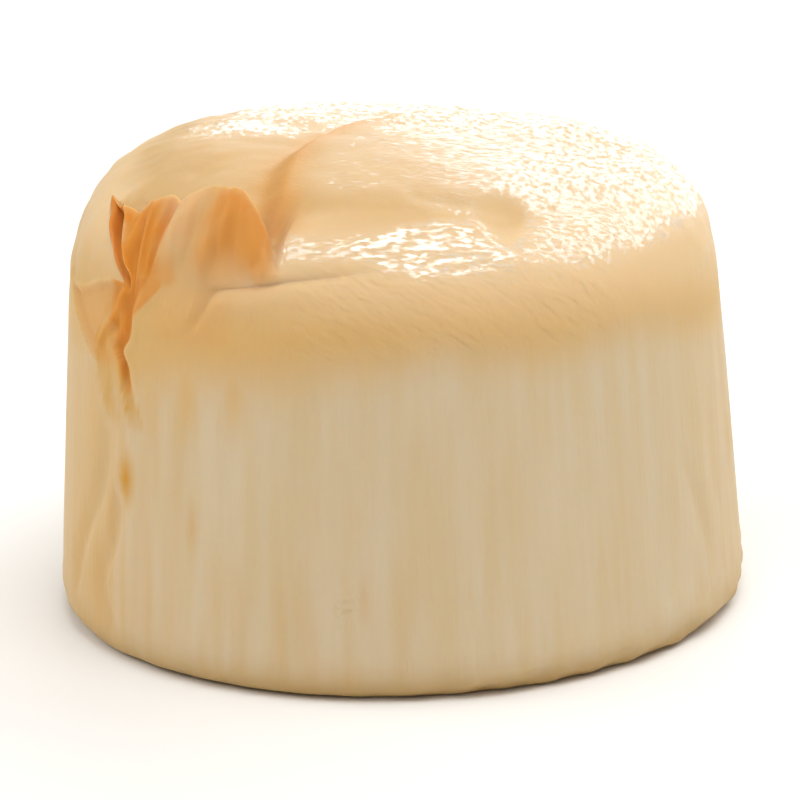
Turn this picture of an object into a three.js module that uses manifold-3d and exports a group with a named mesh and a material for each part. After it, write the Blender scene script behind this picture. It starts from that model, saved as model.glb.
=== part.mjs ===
// A smoked burrata: one soft drum of stretched-curd cheese, slumped a little wider at its foot, with a rounded
// shoulder, a creased and dimpled top, and the gathered neck of its skin pressed against the front-left shoulder.
// Millimetres, +Z up, standing on z = 0 with the axis of the drum on the Z axis. The front faces -Y.
// Angles are in degrees round the Z axis from +X, so the front is at -90 and the gathered neck at about -131.
import * as THREE from "three";
import { mergeVertices } from "three/addons/utils/BufferGeometryUtils.js";
import Module from "manifold-3d";

const { degToRad, lerp, smoothstep } = THREE.MathUtils;

// Drum
const BASE_RADIUS = 38;
const HEIGHT = 50.6;
const TOP_TAPER = 0.9035; // share of the radius that is left at the height of the top
const FOOT_INSET = 3.4; // the foot's rounding, measured inwards and upwards
const FOOT_RISE = 2.9;
const SHOULDER_START = 29.7; // height where the wall begins to turn over
const SHOULDER_POWER = 5; // power of the shoulder's superellipse, larger for a tighter turn
const SHOULDER_SWING = 1.9; // how much softer the shoulder is towards SOFT_ANGLE, and tighter opposite it
const SOFT_ANGLE = -137;
const LEAN_RIGHT = -0.079; // slope of the top towards +X and +Y
const LEAN_BACK = -0.026;

// Fold of the top skin that overlaps the front shoulder
const CREASE = { from: -124, to: -70, middle: -93, radius: 32, bow: 0.8, lip: 1.3, lipReach: 1.9, groove: 1 };
// Raised lobe on the top: its left flank runs from the gathered neck back past the middle
const LOBE = { x: -12.2, y: -22, bow: 0.0118, height: 1.7, flank: 3.2, reach: 30, front: -27, back: 14 };
// Dimple on the top with a short groove that runs into it from the left
const DIMPLE = { x: 11, y: -23.4, radius: 2.8, depth: 1.4, grooveLength: 8, grooveWidth: 1.3, grooveDepth: 0.5 };
// Soft upright flutes of the wall, and deeper drapes below the gathered neck
const FLUTES = { depth: 0.16, counts: [13, 22, 31], low: 9, high: 27, fade: 8 };
const DRAPES = { angles: [-168, -156, -146], depth: 0.55, width: 3.2, sway: 3, bottom: 8, top: 28, fade: 6 };

// Gathered neck: a fan of pleated skin that ends in a smooth ear on the right
const FAN = {
  rootAngles: [-147.5, -145.5, -139, -125, -111],
  rootStations: [3.32, 3.29, 3.28, 3.33, 3.44],
  edgeAngles: [-157, -147, -138, -125.5, -113],
  edgeHeights: [48.6, 48.3, 50.6, 53, 46.6],
  edgeRadius: 32.2,
  edgeRadiusRight: 30.4,
  pleats: 5.5, // over the left of the fan
  pleatEnd: 0.55, // share of the fan's width where the pleats have died out
  pleatDepth: 0.7,
  ruffle: 0.5, // waviness of the upper edge
  bulge: 1.5, // how far the ear swells outwards
  root: 2.6, // thickness at the root and at the edge
  rim: 0.8,
};
// Lip of skin that stands to the left of the fan and makes a narrow pocket with it
const LIP = {
  rootAngles: [-149, -154.5, -159],
  rootStations: [3.3, 3.4, 3.5],
  edgeAngles: [-146, -151.5, -155.5],
  edgeHeights: [41.2, 44.6, 48.2],
  edgeRadius: 34.3,
  edgeRadiusTop: 32.1,
  root: 2,
  rim: 0.7,
};
// Pinched seam that runs down the wall from the fan, and the flap of skin to the left of it
const SEAM = { top: 41.5, end: 25, topAngle: -144.5, endAngle: -138, width: 1, groove: 0.6, banks: 0.6 };
const FLAP = { topAngle: -169, top: 39.5, bottom: 32.5, slant: 2.6, height: 0.9, reach: 10 };

// Mesh: rings along the outline of the drum, and points round it, closer together towards DENSE_ANGLE
const RINGS = { floor: 2, foot: 3, wall: 10, cap: 25 };
const AROUND = 104;
const DENSE_ANGLE = -118;
const DENSE_SHARE = 0.45;
const FAN_MESH = { across: 34, up: 8 };
const LIP_MESH = { across: 10, up: 4 };

// 1 at x = 0, falling away to either side within about two widths
function bell(x, width) {
  return Math.exp(-((x / width) ** 2));
}

// 1 between from and to, fading to 0 over the given length outside them
function span(x, from, to, fade) {
  return smoothstep(x, from - fade, from) * (1 - smoothstep(x, to, to + fade));
}

// Signed turn in degrees from one angle to another, between -180 and 180
function turn(angle, from) {
  return THREE.MathUtils.euclideanModulo(angle - from + 180, 360) - 180;
}

// Value at share 0 to 1 along a smooth curve through evenly spaced values
function along(values, share) {
  const points = values.map((value, i) => new THREE.Vector2(i / (values.length - 1), value));
  return new THREE.SplineCurve(points).getPoint(share).y;
}

function cylindrical(radius, angle, height) {
  const a = degToRad(angle);
  return new THREE.Vector3(radius * Math.cos(a), radius * Math.sin(a), height);
}

// Outline of the drum. A station counts the stretches from the middle of the floor to the middle of the top:
// 0 to 1 floor, 1 to 2 foot, 2 to 3 wall, 3 to 4 shoulder and top.
function plainPoint(angle, station) {
  let share = 1;
  let height = 0;
  const flat = 1 - FOOT_INSET / BASE_RADIUS;
  if (station <= 1) {
    share = flat * station;
  } else if (station <= 2) {
    const bend = degToRad(90) * (station - 1);
    share = lerp(flat, 1, Math.sin(bend));
    height = FOOT_RISE * (1 - Math.cos(bend));
  } else if (station <= 3) {
    height = lerp(FOOT_RISE, SHOULDER_START, station - 2);
  } else {
    const power = SHOULDER_POWER - SHOULDER_SWING * Math.cos(degToRad(turn(angle, SOFT_ANGLE)));
    const bend = degToRad(90) * (station - 3);
    const [c, s] = [Math.max(Math.cos(bend), 0), Math.sin(bend)];
    const size = (c ** power + s ** power) ** (1 / power);
    share = c / size;
    height = lerp(SHOULDER_START, HEIGHT, s / size);
  }
  const point = cylindrical(BASE_RADIUS * share * lerp(1, TOP_TAPER, height / HEIGHT), angle, height);
  point.z += (LEAN_RIGHT * point.x + LEAN_BACK * point.y) * (height / HEIGHT) ** 2;
  return point;
}

function plainNormal(angle, station) {
  const step = 0.01;
  const round = plainPoint(angle + 1, station).sub(plainPoint(angle - 1, station));
  const up = plainPoint(angle, Math.min(station + step, 4)).sub(plainPoint(angle, Math.max(station - step, 0)));
  const normal = round.cross(up);
  const upright = station > 2 ? 1 : -1;
  return normal.lengthSq() > 1e-12 ? normal.normalize() : new THREE.Vector3(0, 0, upright);
}

function creaseRelief(angle, radius) {
  const { from, to, middle, bow, lip, lipReach, groove } = CREASE;
  const inwards = CREASE.radius + bow * (turn(angle, middle) / 25) ** 2 - radius;
  const present = smoothstep(angle, from - 4, from + 4) * (1 - smoothstep(angle, to - 24, to));
  return present * (lip * bell(inwards - lipReach, 1.5) - groove * bell(inwards, 0.7));
}

function lobeRelief(x, y) {
  const { bow, height, flank, reach, front, back } = LOBE;
  const slope = 2 * bow * (y - LOBE.y);
  const right = (x - LOBE.x - bow * (y - LOBE.y) ** 2) / Math.hypot(1, slope);
  const rise = smoothstep(right, -flank / 2, flank / 2) * (1 - smoothstep(right, flank, reach));
  return span(y, front, back, 5) * (height * rise - 0.3 * height * bell(right + flank, flank));
}

function dimpleRelief(x, y) {
  const { radius, depth, grooveLength, grooveWidth, grooveDepth } = DIMPLE;
  const bowl = 1 - smoothstep(Math.hypot(x - DIMPLE.x, y - DIMPLE.y), 0.35 * radius, 1.35 * radius);
  const groove = span(x, DIMPLE.x - grooveLength, DIMPLE.x, 2) * bell(y - DIMPLE.y, grooveWidth);
  return -depth * bowl - grooveDepth * groove * (1 - bowl);
}

function fluteRelief(angle, height) {
  const { depth, counts, low, high, fade } = FLUTES;
  const wave = counts.reduce((sum, count, i) => sum + Math.sin(degToRad(count * angle + 70 * i)), 0);
  return depth * wave * span(height, low, high, fade);
}

function drapeRelief(angle, height) {
  const { angles, depth, width, sway, bottom, top, fade } = DRAPES;
  const drift = sway * Math.sin(degToRad(height * 9));
  const valleys = angles.reduce((sum, at, i) => sum + bell(turn(angle, at + drift * (1 - 0.3 * i)), width), 0);
  return -depth * valleys * span(height, bottom, top, fade);
}

function seamRelief(angle, height) {
  const { top, end, topAngle, endAngle, width, groove, banks } = SEAM;
  const down = smoothstep(height, end, 34);
  const middle = lerp(endAngle, topAngle, down);
  const aside = Math.abs(degToRad(turn(angle, middle))) * BASE_RADIUS;
  const present = smoothstep(height, end, end + 6) * (1 - smoothstep(height, top, top + 2));
  return present * (banks * bell(aside - 1.9 * width, 0.8 * width) - groove * bell(aside, width));
}

function flapRelief(angle, height) {
  const { topAngle, top, bottom, slant, reach } = FLAP;
  const right = degToRad(turn(angle, topAngle + slant * (top - height))) * BASE_RADIUS;
  const plate = smoothstep(right, -0.6, 0.6) * (1 - smoothstep(right, 0.2 * reach, reach));
  return FLAP.height * plate * span(height, bottom, top, 1.5);
}

// Height of the skin above the plain drum at one of its points
function relief(point, angle) {
  const radius = Math.hypot(point.x, point.y);
  const upper = smoothstep(point.z, 34, 40);
  const top = creaseRelief(angle, radius) + lobeRelief(point.x, point.y) + dimpleRelief(point.x, point.y);
  const wall = fluteRelief(angle, point.z) + drapeRelief(angle, point.z);
  return upper * top + wall + seamRelief(angle, point.z) + flapRelief(angle, point.z);
}

function skinPoint(angle, station) {
  const point = plainPoint(angle, station);
  return point.addScaledVector(plainNormal(angle, station), relief(point, angle));
}

// The drum as a lathe whose points are carried from (angle, station) to the skin
function drumGeometry() {
  const stations = Object.values(RINGS).flatMap((count, stretch) =>
    Array.from({ length: count }, (_, i) => stretch + i / count),
  );
  const profile = [...stations, 4].map((station) => new THREE.Vector2(station === 0 || station === 4 ? 0 : 1, station));
  const lathe = new THREE.LatheGeometry(profile, AROUND);
  lathe.deleteAttribute("normal");
  lathe.deleteAttribute("uv");
  const position = lathe.getAttribute("position");
  for (let i = 0; i < position.count; i++) {
    const even = Math.atan2(position.getX(i), position.getZ(i));
    const turned = even - DENSE_SHARE * Math.sin(even);
    const point = skinPoint(turn(DENSE_ANGLE + THREE.MathUtils.radToDeg(turned), 0), position.getY(i));
    position.setXYZ(i, point.x, point.y, point.z);
  }
  return mergeVertices(lathe, 1e-3);
}

// Point under the plain drum's surface that leaves the outer face of a sheet's root level with it
function rootPoint({ rootAngles, rootStations, root }, u) {
  const [angle, station] = [along(rootAngles, u), along(rootStations, u)];
  return plainPoint(angle, station).addScaledVector(plainNormal(angle, station), -root / 2);
}

function fanPoint(u, v) {
  const { pleats, pleatEnd, pleatDepth, ruffle, bulge } = FAN;
  const ear = smoothstep(u, pleatEnd - 0.15, 0.8);
  const pleated = (1 - ear) * Math.sin(2 * Math.PI * (pleats * u + 0.15));
  const root = rootPoint(FAN, u);
  const edgeRadius = lerp(FAN.edgeRadius, FAN.edgeRadiusRight, u);
  const edge = cylindrical(edgeRadius, along(FAN.edgeAngles, u), along(FAN.edgeHeights, u) + ruffle * pleated);
  const outwards = new THREE.Vector3(root.x, root.y, 0).normalize();
  const swell = Math.sin(Math.PI * v) * bulge * (0.4 + 0.6 * ear);
  const curl = -1.5 * ear * smoothstep(u, 0.85, 1) * v;
  const pleat = pleatDepth * pleated * Math.sin(Math.PI * (0.1 + 0.6 * v));
  return root.lerp(edge, v).addScaledVector(outwards, swell + curl + pleat);
}

function lipPoint(u, v) {
  const edgeRadius = lerp(LIP.edgeRadius, LIP.edgeRadiusTop, u);
  const edge = cylindrical(edgeRadius, along(LIP.edgeAngles, u), along(LIP.edgeHeights, u));
  return rootPoint(LIP, u).lerp(edge, v);
}

// A closed sheet round a middle surface, thick at its root and thin at its free edge
function sheetGeometry(middlePoint, { root, rim }, { across, up }) {
  const step = 0.02;
  const faces = [1, -1].map((side) => {
    const points = [];
    for (let j = 0; j <= up; j++) {
      for (let i = 0; i <= across; i++) {
        const [u, v] = [i / across, j / up];
        const wide = middlePoint(Math.min(u + step, 1), v).sub(middlePoint(Math.max(u - step, 0), v));
        const tall = middlePoint(u, Math.min(v + step, 1)).sub(middlePoint(u, Math.max(v - step, 0)));
        const half = lerp(root, rim, v ** 0.7) / 2;
        points.push(middlePoint(u, v).addScaledVector(wide.cross(tall).normalize(), side * half));
      }
    }
    return points;
  });
  const row = across + 1;
  const far = row * (up + 1);
  const index = [];
  const quad = (a, b, c, d) => index.push(a, b, c, a, c, d);
  for (let j = 0; j < up; j++) {
    for (let i = 0; i < across; i++) {
      const k = j * row + i;
      quad(k, k + 1, k + row + 1, k + row);
      quad(far + k, far + k + row, far + k + row + 1, far + k + 1);
    }
    const [left, right] = [j * row, j * row + across];
    quad(left, left + row, far + left + row, far + left);
    quad(right, far + right, far + right + row, right + row);
  }
  for (let i = 0; i < across; i++) {
    const last = up * row + i;
    quad(i, far + i, far + i + 1, i + 1);
    quad(last, last + 1, far + last + 1, far + last);
  }
  const geometry = new THREE.BufferGeometry().setFromPoints(faces.flat());
  return geometry.setIndex(index);
}

const wasm = await Module();
wasm.setup();

function solidOf(geometry) {
  const mesh = new wasm.Mesh({
    numProp: 3,
    vertProperties: new Float32Array(geometry.getAttribute("position").array),
    triVerts: new Uint32Array(geometry.index.array),
  });
  return new wasm.Manifold(mesh);
}

function geometryOf(solid) {
  const mesh = solid.getMesh();
  const geometry = new THREE.BufferGeometry();
  geometry.setAttribute("position", new THREE.BufferAttribute(mesh.vertProperties, 3));
  geometry.setIndex(new THREE.BufferAttribute(mesh.triVerts, 1));
  geometry.computeVertexNormals();
  return geometry;
}

const drum = solidOf(drumGeometry());
const fan = solidOf(sheetGeometry(fanPoint, FAN, FAN_MESH));
const lip = solidOf(sheetGeometry(lipPoint, LIP, LIP_MESH));

const smokedSkin = new THREE.MeshStandardMaterial({ color: 0xe6c28c, roughness: 0.35, metalness: 0 });
const burrata = new THREE.Mesh(geometryOf(drum.add(fan).add(lip)), smokedSkin);
burrata.name = "burrata";

const part = new THREE.Group();
part.add(burrata);

export default part;
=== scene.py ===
"""Smoked burrata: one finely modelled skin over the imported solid, on a pale floor in soft light."""
import math

import bpy
import numpy as np
from bpy.props import FloatProperty, FloatVectorProperty, IntProperty, PointerProperty
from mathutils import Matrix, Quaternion, Vector, noise


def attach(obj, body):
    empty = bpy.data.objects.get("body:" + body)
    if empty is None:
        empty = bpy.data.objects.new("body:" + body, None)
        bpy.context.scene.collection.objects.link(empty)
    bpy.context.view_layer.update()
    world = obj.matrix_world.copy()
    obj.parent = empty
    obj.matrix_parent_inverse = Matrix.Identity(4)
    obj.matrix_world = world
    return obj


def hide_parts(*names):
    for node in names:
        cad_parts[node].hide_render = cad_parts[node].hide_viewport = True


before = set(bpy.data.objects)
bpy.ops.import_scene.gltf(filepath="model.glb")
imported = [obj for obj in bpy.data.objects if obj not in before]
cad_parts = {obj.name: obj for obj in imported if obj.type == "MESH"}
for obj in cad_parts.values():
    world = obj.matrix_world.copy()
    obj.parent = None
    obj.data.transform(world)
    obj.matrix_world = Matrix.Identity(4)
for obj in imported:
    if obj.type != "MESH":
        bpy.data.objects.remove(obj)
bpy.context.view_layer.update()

bl_info = {
    "name": "Smoked Burrata",
    "version": (1, 0, 0),
    "blender": (4, 5, 0),
    "location": "3D View > Sidebar > Burrata",
    "description": "Models a smoked burrata with its gathered neck, and a plain studio round it",
    "category": "Add Mesh",
}

NODE = "burrata"
MM = 0.001
QUARTER = math.pi / 2

# Half the side of the square floor, in metres
FLOOR_HALF = 1.5

# Soft lights: name, width and height, and place, in metres
LIGHTS = (
    ("key", (0.5, 0.36), (0.15, -0.26, 0.72)),
    ("window", (0.72, 0.75), (0.2, 0.64, 0.36)),
    ("right", (0.6, 0.5), (0.525, 0.15, 0.54)),
    ("left", (0.5, 0.4), (-0.66, 0.1, 0.4)),
    ("fill", (0.8, 0.6), (-0.24, -0.62, 0.78)),
)


def deg(value):
    """Angle in radians, given in degrees."""
    return math.radians(value)


def length(name, description, millimetres):
    """Setting that holds a length, given in millimetres."""
    return FloatProperty(
        name=name, description=description, default=millimetres * MM, unit="LENGTH", precision=5
    )


def angle(name, description, degrees):
    """Setting that holds an angle, given in degrees."""
    return FloatProperty(
        name=name, description=description, default=deg(degrees), unit="ROTATION", subtype="ANGLE"
    )


def share(name, description, default):
    """Setting that holds a plain number."""
    return FloatProperty(name=name, description=description, default=default)


def power(name, description, watts):
    """Setting that holds the power of a light, given in watts."""
    return FloatProperty(name=name, description=description, default=watts, unit="POWER")


def count(name, description, default):
    """Setting that holds a whole number."""
    return IntProperty(name=name, description=description, default=default, min=1)


def colour(name, description, red, green, blue):
    """Setting that holds a colour, given in sRGB from 0 to 255."""
    return FloatVectorProperty(
        name=name, description=description, default=srgb(red, green, blue),
        size=3, min=0, max=1, subtype="COLOR",
    )


def srgb(*values):
    """Linear colour of an sRGB colour given from 0 to 255."""
    scaled = [value / 255 for value in values]
    return tuple(v / 12.92 if v <= 0.04045 else ((v + 0.055) / 1.055) ** 2.4 for v in scaled)


class BurrataDrum(bpy.types.PropertyGroup):
    """Sizes of the slumped drum"""

    base_radius: length("Base radius", "Radius of the drum at its foot", 38)
    height: length("Height", "Height of the drum without its gathered neck", 50.6)
    top_taper: share("Top taper", "Share of the radius that is left at the top", 0.9035)
    foot_inset: length("Foot inset", "Rounding of the foot, inwards", 3.4)
    foot_rise: length("Foot rise", "Rounding of the foot, upwards", 2.9)
    shoulder_start: length("Shoulder start", "Height where the wall begins to turn over", 29.7)
    shoulder_power: share("Shoulder power", "Power of the shoulder's curve, larger for a tighter turn", 5)
    shoulder_swing: share("Shoulder swing", "How much softer the shoulder is towards the soft side", 1.9)
    soft_side: angle("Soft side", "Direction in which the shoulder is softest", -137)
    lean_right: share("Lean right", "Slope of the top towards the right", -0.079)
    lean_back: share("Lean back", "Slope of the top towards the back", -0.026)
    columns: count("Columns", "Points round the drum", 610)
    floor_rows: count("Floor rows", "Rings under the drum", 4)
    foot_rows: count("Foot rows", "Rings on the foot's rounding", 9)
    wall_rows: count("Wall rows", "Rings on the wall", 22)
    shoulder_rows: count("Shoulder rows", "Rings from the wall to the fan's root", 32)
    fan_rows: count("Fan rows", "Rings over the fan of the neck, and over the top's edge elsewhere", 62)
    top_rows: count("Top rows", "Rings on the rest of the top", 32)


class BurrataTop(bpy.types.PropertyGroup):
    """Folds and grain of the top skin"""

    lip_height: length("Lip height", "Height of the fold of skin that runs on from the ear", 0.8)
    lip_swell: length("Lip swell", "How far the front of that fold rolls out over the crease", 0.25)
    crease_depth: length("Crease depth", "Depth of the crease under that fold", 0.28)
    crest_height: length("Crest height", "Height of the swollen skin just below the crease", 0.2)
    lobe_height: length("Lobe height", "Height of the raised lobe", 1.6)
    lobe_flank: length("Lobe flank", "Width of the slope at the lobe's left side", 3.2)
    dimple_radius: length("Dimple radius", "Radius of the dimple", 2.8)
    dimple_depth: length("Dimple depth", "Depth of the dimple", 0.9)
    pebble_pitch: length("Pebble pitch", "Distance between the pebbles of the skin", 1.3)
    pebble_height: length("Pebble height", "Height of the pebbles", 0.09)
    wrinkle_pitch: length("Wrinkle pitch", "Distance between the fine wrinkles of the front edge", 0.75)
    wrinkle_height: length("Wrinkle height", "Height of those wrinkles", 0.07)


class BurrataWall(bpy.types.PropertyGroup):
    """Relief of the wall"""

    flute_depth: length("Flute depth", "Depth of the soft upright flutes", 0.12)
    drape_depth: length("Drape depth", "Depth of the drapes below the neck", 0.65)
    seam_depth: length("Seam depth", "Depth of the pinched seam below the neck", 0.7)
    valley_depth: length("Valley depth", "Depth of the leaning fold below the ear", 0.32)
    pleat_height: length("Pleat height", "Height of the soft upright ridge left of the neck", 0.35)
    flap_depth: length("Flap depth", "Depth of the flap's hollow to the left of the seam", 0.28)
    flap_ridge: length("Flap ridge", "Height of the ridges round the flap", 0.45)
    foot_crinkle: length("Foot crinkle", "Height of the crinkles round the foot", 0.5)


class BurrataNeck(bpy.types.PropertyGroup):
    """Gathered neck of the skin: a pleated fan that ends in a smooth ear"""

    foot_left: angle("Foot left", "Left limit of the columns that run into the fan", -165)
    foot_right: angle("Foot right", "Right limit of the columns that run into the fan and its lip", -76)
    rim_height: length("Rim height", "Height of the fan's rim at its left", 47.9)
    ear_height: length("Ear height", "Height of the ear's rim", 52.4)
    rim_radius_left: length("Rim radius left", "Distance of the rim from the axis at the left", 31.6)
    rim_radius_right: length("Rim radius right", "Distance of the rim from the axis at the right", 30.5)
    root_thickness: length("Root thickness", "Thickness of the fan at its root", 2.6)
    rim_thickness: length("Rim thickness", "Thickness of the fan near its rim", 0.8)
    swell: length("Swell", "How far the ear swells outwards", 1.4)
    pleat_depth: length("Pleat depth", "Depth of the pleats", 0.95)
    crumple: length("Crumple", "Height of the uneven crumples between the pleats", 0.8)
    slit_depth: length("Slit depth", "Depth of the pocket at the fan's left end", 2.4)


class BurrataColours(bpy.types.PropertyGroup):
    """Colours of the cheese and the floor"""

    wall: colour("Wall", "Beige of the wall", 209, 191, 161)
    streak: colour("Streak", "Yellower streaks of the wall", 206, 184, 146)
    ochre: colour("Ochre", "Ochre stains of the wall", 198, 144, 46)
    skin: colour("Skin", "Orange-cream smoked skin", 210, 171, 110)
    cream: colour("Cream", "Paler smoked skin of the top", 203, 167, 117)
    # Painted light and sheen: the band round the shoulder gets this paler colour in place of light and soft
    # sheen
    shoulder: colour("Shoulder", "Palest smoked skin, round the shoulder", 226, 194, 148)
    # Milky film on the moist skin, partly a painted highlight: the wet flecks are paler in any light
    whey_and_highlight: colour("Whey", "Milky film on the moist skin", 236, 217, 190)
    # Orange of the gathered skin; it also paints shade along the lobe's left flank
    gathered: colour("Gathered", "Orange of the gathered skin", 209, 138, 53)
    # Painted shade: brown-orange in the pocket, in the fan's folds and along the seam
    deep: colour("Deep", "Brown-orange in the pocket and the seam", 202, 128, 52)
    # Browner skin round the foot, also painted shade where the foot turns under
    foot: colour("Foot", "Browner skin round the foot", 180, 148, 94)
    floor: colour("Floor", "Pale floor", 246, 245, 243)


class BurrataStudio(bpy.types.PropertyGroup):
    """Camera and lights"""

    elevation: angle("Elevation", "Height of the camera above the level", 16.5)
    distance: length("Distance", "Distance of the camera from its aim", 456)
    roll: angle("Roll", "Turn of the camera about its line of sight", -1.66)
    lens: FloatProperty(name="Lens", description="Focal length", default=186.5, unit="CAMERA")
    aim: FloatVectorProperty(
        name="Aim", description="Point at the middle of the picture",
        default=(0.24 * MM, -1.03 * MM, 21.85 * MM), size=3, unit="LENGTH", subtype="TRANSLATION",
    )
    front_strength: share("Front strength", "Brightness of the surroundings in front", 0.34)
    back_strength: share("Back strength", "Brightness of the surroundings behind", 0.22)
    horizon_strength: share("Horizon strength", "Added brightness low down behind", 0.4)
    key_power: power("Key power", "Power of the light above the front", 2.4)
    window_power: power("Window power", "Power of the low light behind", 2.65)
    right_power: power("Right power", "Power of the light on the right", 1.85)
    left_power: power("Left power", "Power of the light on the left", 1.8)
    fill_power: power("Fill power", "Power of the broad light above the front", 2.7)


def bell(x, width):
    """1 at x = 0, falling away to either side within about two widths."""
    return np.exp(-((x / width) ** 2))


def ramp(x, low, high):
    """Smooth step from 0 at low to 1 at high."""
    t = np.clip((x - low) / (high - low), 0, 1)
    return t * t * (3 - 2 * t)


def span(x, low, high, fade):
    """1 between low and high, fading to 0 over a length outside them."""
    return ramp(x, low - fade, low) * (1 - ramp(x, high, high + fade))


def mix(a, b, part):
    """Goes from a to b with a part from 0 to 1."""
    return a + (b - a) * part


def turn(to, start):
    """Signed turn in radians from one angle to another."""
    return (to - start + math.pi) % (2 * math.pi) - math.pi


def through(values, part):
    """Value at part 0 to 1 along a smooth curve through evenly spaced values."""
    values = np.asarray(values, float)
    last = len(values) - 1
    x = np.clip(part, 0, 1) * last
    i = np.minimum(x.astype(int), last - 1)
    t = x - i
    a, b, c, d = (values[np.clip(i + k, 0, last)] for k in (-1, 0, 1, 2))
    return b + 0.5 * t * (c - a + t * (2 * a - 5 * b + 4 * c - d + t * (3 * (b - c) + d - a)))


def cylindrical(radius, around, height):
    """Points at a distance from the axis, an angle about it and a height."""
    return np.stack([radius * np.cos(around), radius * np.sin(around), height + 0 * around], -1)


def unit(vectors):
    """Vectors of length 1 with the same directions."""
    return vectors / np.maximum(np.linalg.norm(vectors, axis=-1, keepdims=True), 1e-12)


def grain(points, pitch, stretch=(1, 1, 1), seed=0):
    """Smooth noise from -1 to 1 with about the given pitch, longer along the stretched axes."""
    scaled = points / (pitch * np.array(stretch)) + seed
    return np.array([noise.noise(p) for p in scaled.reshape(-1, 3).tolist()]).reshape(points.shape[:-1])


def drum_points(drum, around, station):
    """Plain drum. Stations to 1 are the floor, to 2 the foot, to 3 the wall, to 4 the shoulder and top."""
    flat = 1 - drum.foot_inset / drum.base_radius
    foot = QUARTER * (station - 1)
    bend = QUARTER * np.clip(station - 3, 0, 1)
    power = drum.shoulder_power - drum.shoulder_swing * np.cos(around - drum.soft_side)
    c, s = np.maximum(np.cos(bend), 0), np.sin(bend)
    size = (c**power + s**power) ** (1 / power)
    stretches = [station <= 1, station <= 2, station <= 3]
    part = np.select(stretches, [flat * station, mix(flat, 1, np.sin(foot)), 1 + 0 * station], c / size)
    height = np.select(
        stretches,
        [
            0 * station,
            drum.foot_rise * (1 - np.cos(foot)),
            mix(drum.foot_rise, drum.shoulder_start, station - 2),
        ],
        mix(drum.shoulder_start, drum.height, s / size),
    )
    high = height / drum.height
    points = cylindrical(drum.base_radius * part * mix(1, drum.top_taper, high), around, height)
    points[..., 2] += (drum.lean_right * points[..., 0] + drum.lean_back * points[..., 1]) * high**2
    return points


def drum_normals(drum, around, station):
    """Outward directions of the plain drum."""
    step = 0.01
    across = drum_points(drum, around + step, station) - drum_points(drum, around - step, station)
    up = drum_points(drum, around, np.minimum(station + step, 4))
    up -= drum_points(drum, around, np.maximum(station - step, 0))
    return unit(np.cross(across, up))


def lobe_side(x, y):
    """Distance to the right of the lobe's left flank, which bows from the neck to the back of the top."""
    bow = 0.0118 / MM
    behind = y + 22 * MM
    return (x + 12.2 * MM - bow * behind**2) / np.hypot(1, 2 * bow * behind)


def lobe_relief(top, x, y):
    """Raised lobe with a hollow along its left flank."""
    right = lobe_side(x, y)
    flank = top.lobe_flank
    rise = ramp(right, -flank / 2, flank / 2) * (1 - ramp(right, flank, 30 * MM))
    valley = 0.15 * bell(right + flank, flank)
    return top.lobe_height * (rise - valley) * ramp(y, -32 * MM, -27 * MM) * (1 - ramp(y, 8 * MM, 26 * MM))


def dimple_away(x, y):
    """Distance from the middle of the dimple, which is longer from front to back than across."""
    return np.hypot((x - 11.2 * MM) / 0.8, (y + 25 * MM) / 1.15)


def dimple_relief(top, x, y):
    """Dimple with a short groove that runs into it from the left."""
    bowl = 1 - ramp(dimple_away(x, y), 0.2 * top.dimple_radius, 1.6 * top.dimple_radius)
    groove = span(x, 3 * MM, 11 * MM, 2 * MM) * bell(y + 24 * MM, 1.3 * MM)
    return -top.dimple_depth * (bowl + 0.35 * groove * (1 - bowl))


def right_fold(around, height):
    """Fold on the far right of the wall, leaning with the flare: 1 in its valley, below 0 on its ridges."""
    away = turn(around, deg(-32) + deg(0.62) * (16.2 * MM - height) / MM)
    ridges = bell(away + deg(4.6), deg(2)) + bell(away - deg(4.6), deg(2.2))
    return (bell(away, deg(1.7)) - 0.8 * ridges) * span(height, 11 * MM, 18 * MM, 5 * MM)


def edge_fold(around, height):
    """Small upright fold beside a groove, right of it: 1 in the groove, below 0 on the fold."""
    upright = ramp(height, 15 * MM, 18.5 * MM) * (1 - ramp(height, 20.8 * MM, 21.2 * MM))
    return (bell(around + deg(7.4), deg(1.8)) - 0.8 * bell(around + deg(12), deg(1.5))) * upright


def wall_relief(wall, points, around, height):
    """Soft flutes all round, and drapes that sway down from the neck."""
    flutes = grain(points, 2.6 * MM, (1, 1, 12), seed=9) * span(height, 9 * MM, 27 * MM, 8 * MM)
    fall = 1 - height / (28 * MM)
    long_drape = bell(turn(around, deg(-149) - deg(13) * ramp(fall, 0.2, 0.85)), deg(2.6))
    bent_drape = bell(turn(around, deg(-145) - deg(5) * bell(height - 8 * MM, 4 * MM)), deg(2.2))
    drapes = long_drape * span(height, 7 * MM, 24 * MM, 4 * MM)
    drapes += bent_drape * span(height, 5 * MM, 17 * MM, 3 * MM)
    drapes += 0.25 * right_fold(around, height) + 0.4 * edge_fold(around, height)
    return wall.flute_depth * flutes - wall.drape_depth * drapes


def seam_side(around, height, base_radius):
    """Distance to the right of the pinched seam's edge, which runs down the wall from the neck."""
    edge = mix(deg(-137.2), deg(-141), ramp(height, 25 * MM, 32 * MM))
    edge = edge - deg(2) * bell(height - 34.1 * MM, 1.2 * MM) + deg(3.5) * ramp(height, 38 * MM, 44 * MM)
    return turn(around, edge) * base_radius


def seam_strip(right, height):
    """1 in the sunk strip on the left of the seam's edge, wide below the neck and narrow further down."""
    wide = mix(2 * MM, 6 * MM, ramp(height, 33.5 * MM, 37.5 * MM))
    return ramp(right, -1.15 * wide, -0.8 * wide) * (1 - ramp(right, -0.7 * MM, 0.3 * MM))


def tail_lobe(around, height):
    """1 on the small lobe of gathered skin right of the pinch, whose lower edge climbs to the right."""
    right = turn(around, deg(-139.5)) / deg(3.5)
    low = (38.5 + 2.2 * right) * MM
    upright = ramp(height, low, low + 0.6 * MM) * (1 - ramp(height, 42 * MM, 43.5 * MM))
    return upright * span(right, -0.3, 1.1, 0.3)


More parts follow.
